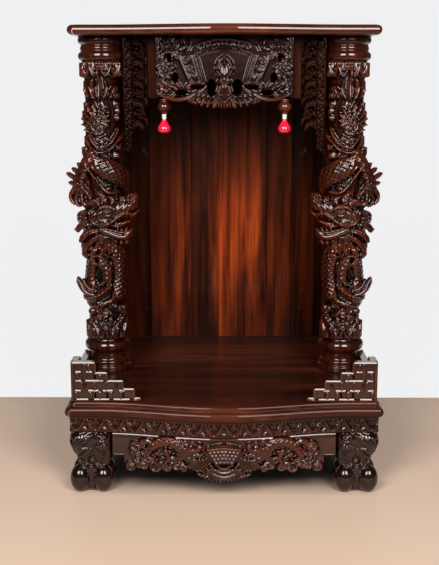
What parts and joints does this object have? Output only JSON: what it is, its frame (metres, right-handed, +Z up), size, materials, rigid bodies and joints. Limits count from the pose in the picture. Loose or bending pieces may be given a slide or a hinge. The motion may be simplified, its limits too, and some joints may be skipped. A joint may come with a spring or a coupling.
{
  "type": "household altar cabinet",
  "caption": "Open-fronted household altar cabinet on carved feet, with dragon columns, a pierced frieze with red lamps, low fretwork rails and a serpentine floor board",
  "frame": {"origin": "on the floor, at the middle of the bounding box's bottom face, midway between the sides and midway between the nose of the floor board's swell and its back edge", "axes": "+Z up, the open front faces -Y, +X is the right-hand side seen from the front"},
  "size_m": [0.6546, 0.61, 0.896],
  "materials": {
    "rosewood": "dark red-brown rosewood, high-gloss lacquer",
    "figured_panel": "rosewood planks with lighter orange-brown figure, glossy lacquer",
    "lamp_socket": "pale glossy socket",
    "lamp_glass": "opaque red lacquered glass, shiny"
  },
  "bodies": {
    "root": {"floor_board": "rosewood", "roof_board": "rosewood", "carved_band_front": "rosewood", "carved_band_left": "rosewood", "carved_band_right": "rosewood", "carved_band_back": "rosewood", "leg_front_left": "rosewood", "leg_front_right": "rosewood", "leg_rear_left": "rosewood", "leg_rear_right": "rosewood", "apron_front": "rosewood", "apron_left": "rosewood", "apron_right": "rosewood", "apron_back": "rosewood", "corner_rail_left": "rosewood", "corner_rail_right": "rosewood", "side_rail_left": "rosewood", "side_rail_right": "rosewood", "dragon_column_left": "rosewood", "dragon_column_right": "rosewood", "back_wall": "figured_panel", "rear_post_left": "rosewood", "rear_post_right": "rosewood", "side_wall_left": "figured_panel", "side_wall_right": "figured_panel", "frieze": "rosewood", "frieze_post_left": "rosewood", "frieze_post_right": "rosewood", "frieze_wing_left": "rosewood", "frieze_wing_right": "rosewood", "drop_knob_left": "rosewood", "drop_knob_right": "rosewood", "lamp_socket_left": "lamp_socket", "lamp_socket_right": "lamp_socket", "lamp_bulb_left": "lamp_glass", "lamp_bulb_right": "lamp_glass"}
  },
  "joints": []
}
